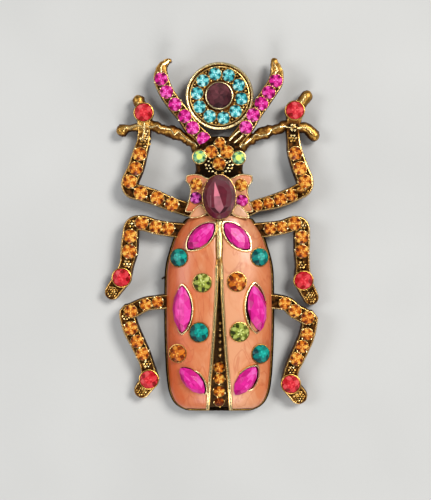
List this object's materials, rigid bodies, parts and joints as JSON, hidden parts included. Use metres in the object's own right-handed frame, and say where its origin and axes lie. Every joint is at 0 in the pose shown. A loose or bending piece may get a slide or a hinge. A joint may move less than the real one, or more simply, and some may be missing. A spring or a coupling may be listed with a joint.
{
  "type": "beetle brooch",
  "caption": "Long jewelled beetle brooch: enamelled wing cases, six stone-set legs, two antennae with a round stone ornament between them, and a pin at the back.",
  "frame": {"origin": "middle of the bounding box, on the surface that the feet stand on", "axes": "+Y along the body towards the head, +Z out of the face of the brooch, +X to the right seen from its face"},
  "size_m": [0.0492, 0.0806, 0.0103],
  "materials": {
    "antique_gold": "polished on high points, dark antique patina in recesses",
    "pin_metal": "plain",
    "coral_enamel": "glossy, swirled",
    "pale_enamel": "glossy",
    "amethyst_glass": "faceted, foil-backed",
    "garnet_glass": "faceted, foil-backed",
    "lime_glass": "faceted, foil-backed",
    "aqua_glass": "faceted, foil-backed",
    "amber_glass": "faceted, foil-backed",
    "magenta_glass": "faceted, foil-backed",
    "teal_glass": "faceted, foil-backed",
    "peridot_glass": "faceted, foil-backed",
    "purple_glass": "faceted, foil-backed",
    "red_glass": "faceted, foil-backed"
  },
  "bodies": {
    "root": {"casting": "antique_gold", "elytron_left": "antique_gold", "elytron_right": "antique_gold", "enamel_left": "coral_enamel", "enamel_right": "coral_enamel", "enamel_collar_left": "coral_enamel", "enamel_collar_right": "coral_enamel", "petal_left": "pale_enamel", "petal_right": "pale_enamel", "pin_finding": "pin_metal", "stone_oval": "amethyst_glass", "stone_disc": "garnet_glass", "stone_eye_left": "lime_glass", "stone_eye_right": "lime_glass", "pave_disc": "aqua_glass", "pave_head": "amber_glass", "pave_tail": "amber_glass", "pave_antenna_left": "magenta_glass", "pave_antenna_right": "magenta_glass", "stone_left_1": "magenta_glass", "stone_left_2": "teal_glass", "stone_left_3": "peridot_glass", "stone_left_4": "magenta_glass", "stone_left_5": "teal_glass", "stone_left_6": "amber_glass", "stone_left_7": "magenta_glass", "stone_right_1": "magenta_glass", "stone_right_2": "teal_glass", "stone_right_3": "amber_glass", "stone_right_4": "magenta_glass", "stone_right_5": "peridot_glass", "stone_right_6": "teal_glass", "stone_right_7": "magenta_glass", "stone_collar_1": "amber_glass", "stone_collar_2": "purple_glass", "stone_collar_3": "amber_glass", "stone_collar_4": "magenta_glass", "stone_red_front_left": "red_glass", "stone_red_front_right": "red_glass", "stone_red_middle_left": "red_glass", "stone_red_middle_right": "red_glass", "stone_red_rear_left": "red_glass", "stone_red_rear_right": "red_glass", "pave_leg_front_left": "amber_glass", "pave_leg_front_right": "amber_glass", "pave_leg_middle_left": "amber_glass", "pave_leg_middle_right": "amber_glass", "pave_leg_rear_left": "amber_glass", "pave_leg_rear_right": "amber_glass"}
  },
  "joints": []
}
